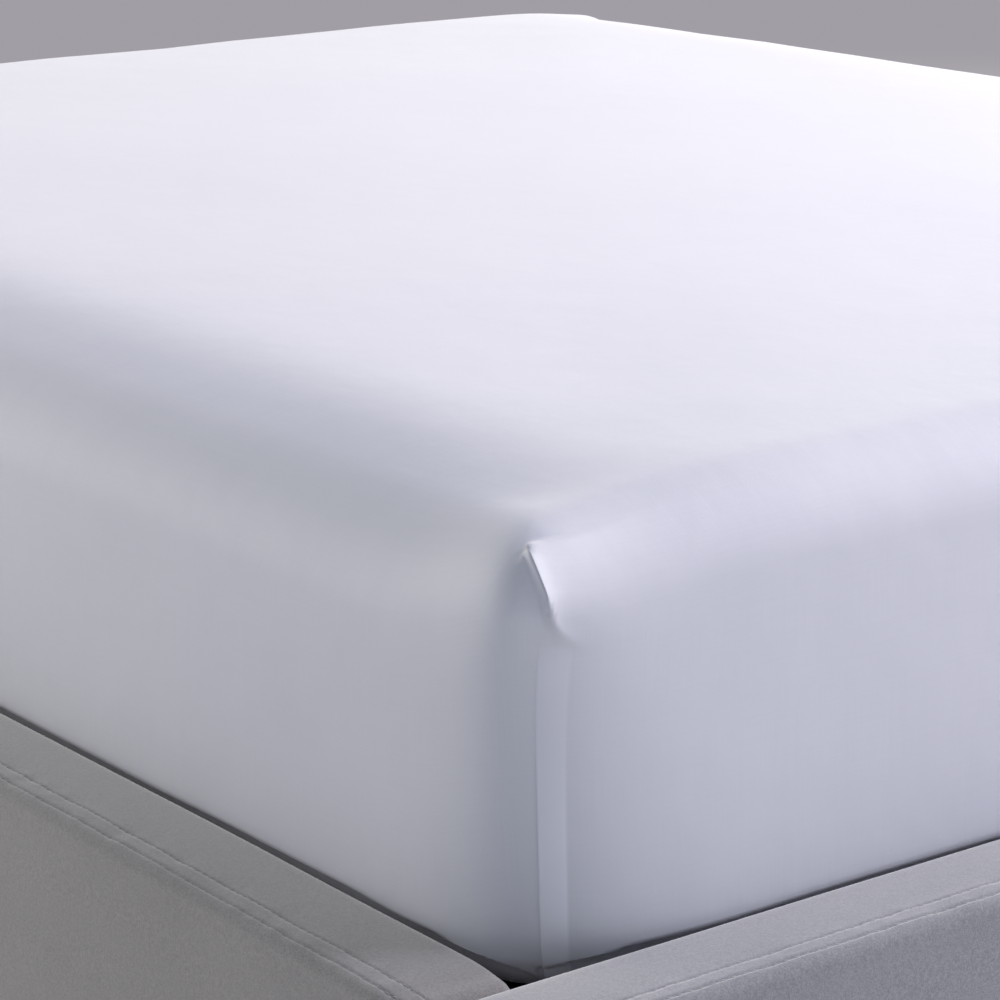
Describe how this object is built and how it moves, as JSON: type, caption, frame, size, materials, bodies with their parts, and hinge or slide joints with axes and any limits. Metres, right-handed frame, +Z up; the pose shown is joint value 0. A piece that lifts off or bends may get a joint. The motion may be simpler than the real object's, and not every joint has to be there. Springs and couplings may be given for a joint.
{
  "type": "mattress protector on a mattress in an upholstered bed frame",
  "caption": "Smooth white fitted mattress protector with sewn corners, stretched over a deep mattress that lies inside the padded rails of a low bed frame.",
  "frame": {"origin": "on the floor under the middle of the bed", "axes": "+Z up, +Y along the bed from the foot end to the head end, +X across it"},
  "size_m": [1.776, 2.176, 0.5917],
  "materials": {
    "protector_cloth": "smooth close weave with a faint satin sheen",
    "mattress_ticking": "plain matt knit",
    "rail_felt": "fine napped felt, double stitched seam",
    "frame_wood": "plain boards, stained dark"
  },
  "bodies": {
    "root": {"protector": "protector_cloth", "mattress": "mattress_ticking", "rail_foot": "rail_felt", "rail_head": "rail_felt", "rail_left": "rail_felt", "rail_right": "rail_felt", "deck_foot": "frame_wood", "deck_head": "frame_wood", "batten_left": "frame_wood", "batten_right": "frame_wood", "centre_beam": "frame_wood", "beam_leg_1": "frame_wood", "beam_leg_2": "frame_wood", "beam_leg_3": "frame_wood"}
  },
  "joints": []
}
